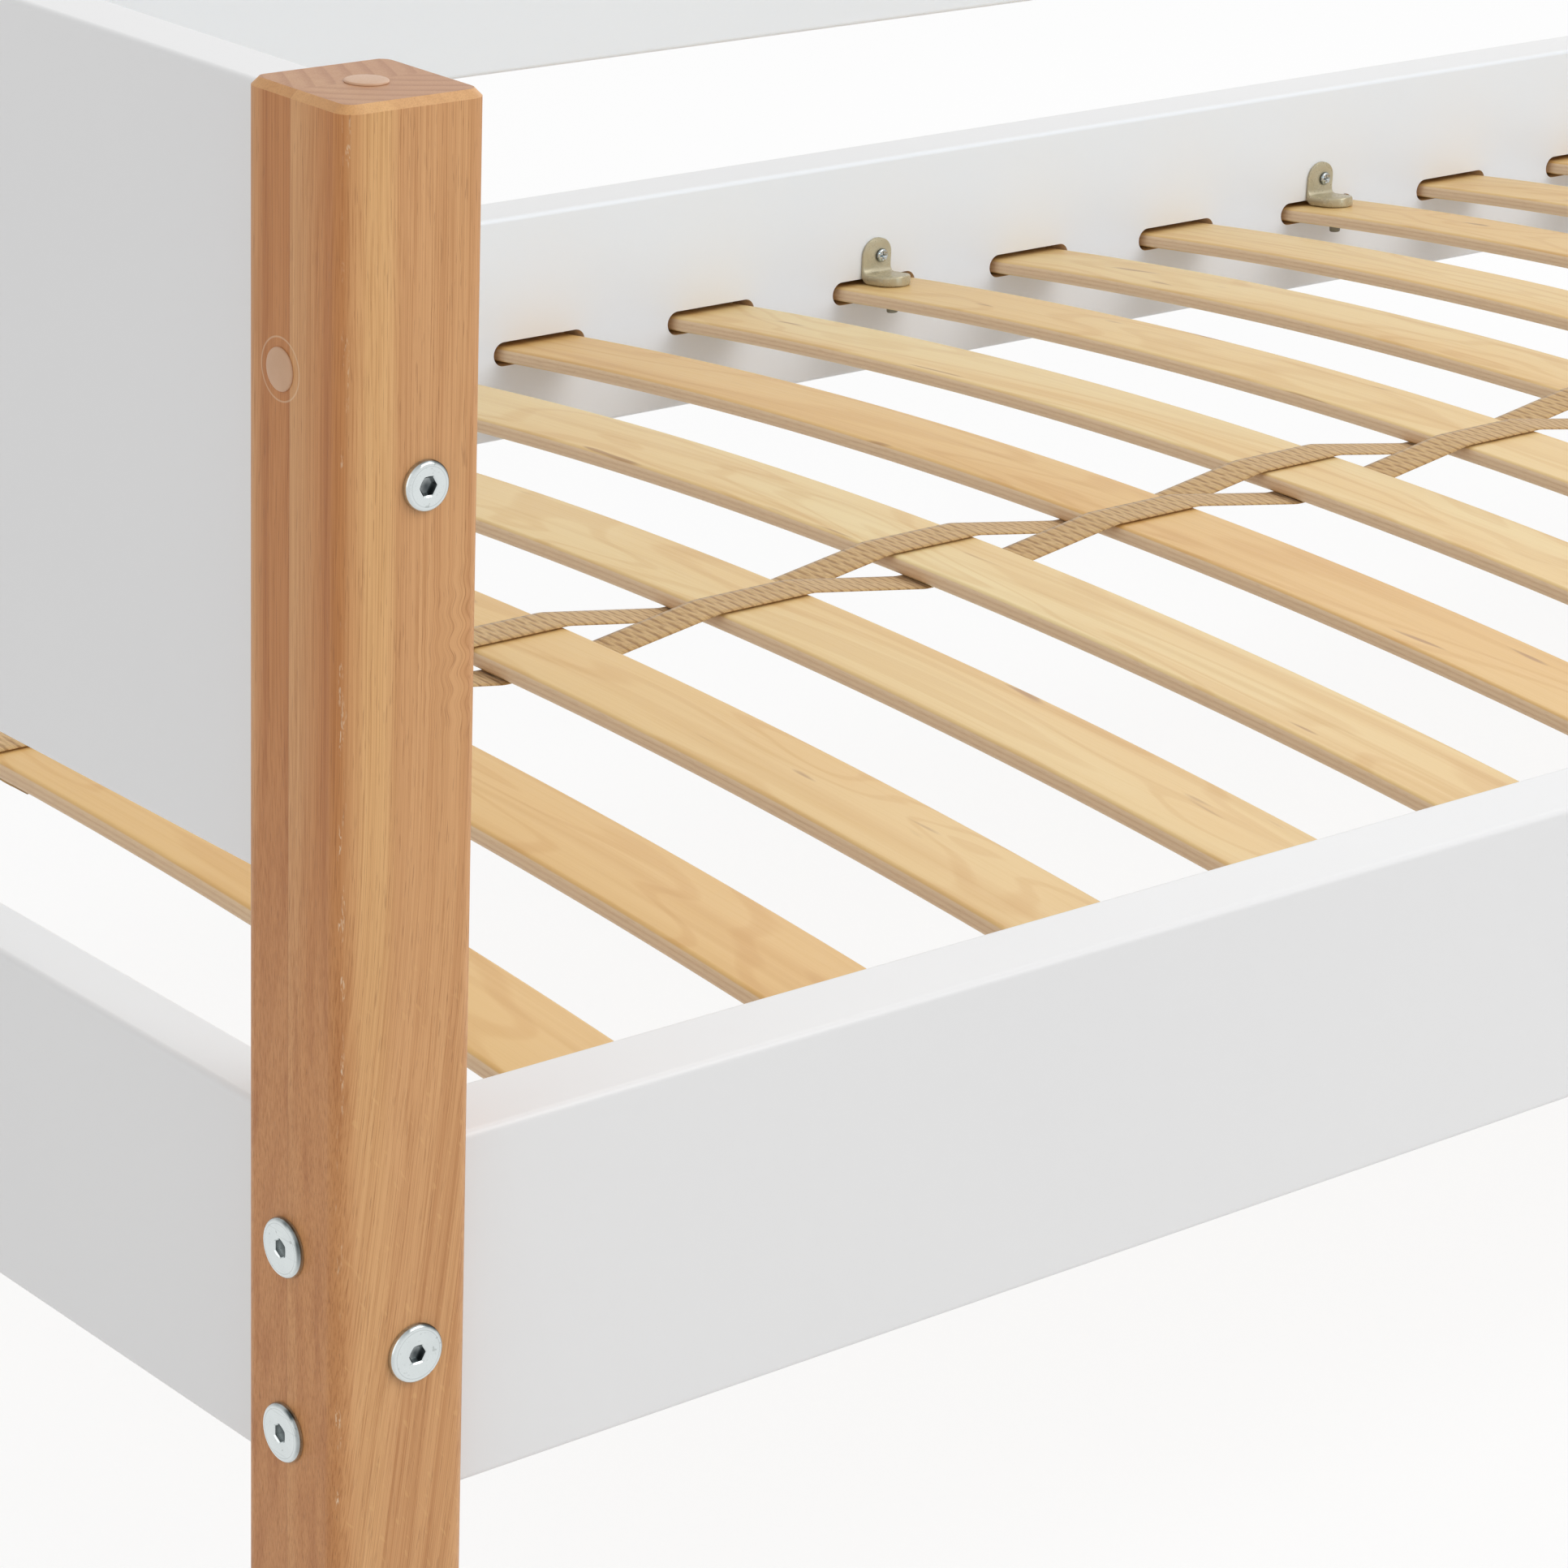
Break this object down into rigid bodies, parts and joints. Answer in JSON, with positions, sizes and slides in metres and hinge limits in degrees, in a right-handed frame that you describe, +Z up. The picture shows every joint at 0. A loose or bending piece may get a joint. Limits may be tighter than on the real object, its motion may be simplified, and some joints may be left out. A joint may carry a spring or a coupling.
{
  "type": "single bed",
  "caption": "Single bed in day-bed form: square wooden posts, white end and back panels, slotted side rails and a sprung base of bowed slats tied by woven tapes.",
  "frame": {"origin": "on the floor below the middle of the bed", "axes": "+X along the bed towards its right end, +Y across it from the open front to the back panel, +Z up"},
  "size_m": [2.0928, 1.0048, 0.676],
  "materials": {
    "post_wood": "oiled, satin",
    "white_board": "white lacquer, satin",
    "slat_wood": "clear lacquer, satin",
    "tape_webbing": "ribbed weave",
    "bolt_steel": "bright zinc plate",
    "nut_steel": "zinc plate",
    "dowel_wood": "raw",
    "plug_plastic": "satin",
    "glide_plastic": "matte",
    "bracket_metal": "matte beige grey",
    "screw_steel": "bright zinc plate",
    "peg_metal": "matte beige grey"
  },
  "bodies": {
    "root": {"post_front_left": "post_wood", "post_front_right": "post_wood", "post_back_left": "post_wood", "post_back_right": "post_wood", "front_rail": "white_board", "back_rail": "white_board", "back_panel": "white_board", "left_end_rail": "white_board", "left_end_panel": "white_board", "right_end_rail": "white_board", "right_end_panel": "white_board", "slat_01": "slat_wood", "slat_02": "slat_wood", "slat_03": "slat_wood", "slat_04": "slat_wood", "slat_05": "slat_wood", "slat_06": "slat_wood", "slat_07": "slat_wood", "slat_08": "slat_wood", "slat_09": "slat_wood", "slat_10": "slat_wood", "slat_11": "slat_wood", "slat_12": "slat_wood", "slat_13": "slat_wood", "slat_14": "slat_wood", "slat_15": "slat_wood", "slat_tape_rear": "tape_webbing", "slat_tape_front": "tape_webbing", "side_rail_bolts": "bolt_steel", "back_panel_bolts": "bolt_steel", "end_rail_bolts": "bolt_steel", "end_panel_bolts": "bolt_steel", "side_rail_nuts": "nut_steel", "back_panel_nuts": "nut_steel", "end_rail_nuts": "nut_steel", "end_panel_nuts": "nut_steel", "end_rail_dowels": "dowel_wood", "end_panel_dowels": "dowel_wood", "back_panel_dowels": "dowel_wood", "post_top_plugs": "plug_plastic", "side_hole_plugs": "plug_plastic", "foot_glides": "glide_plastic", "slat_brackets_front": "bracket_metal", "slat_brackets_back": "bracket_metal", "bracket_screws": "screw_steel", "bracket_pegs": "peg_metal"}
  },
  "joints": []
}
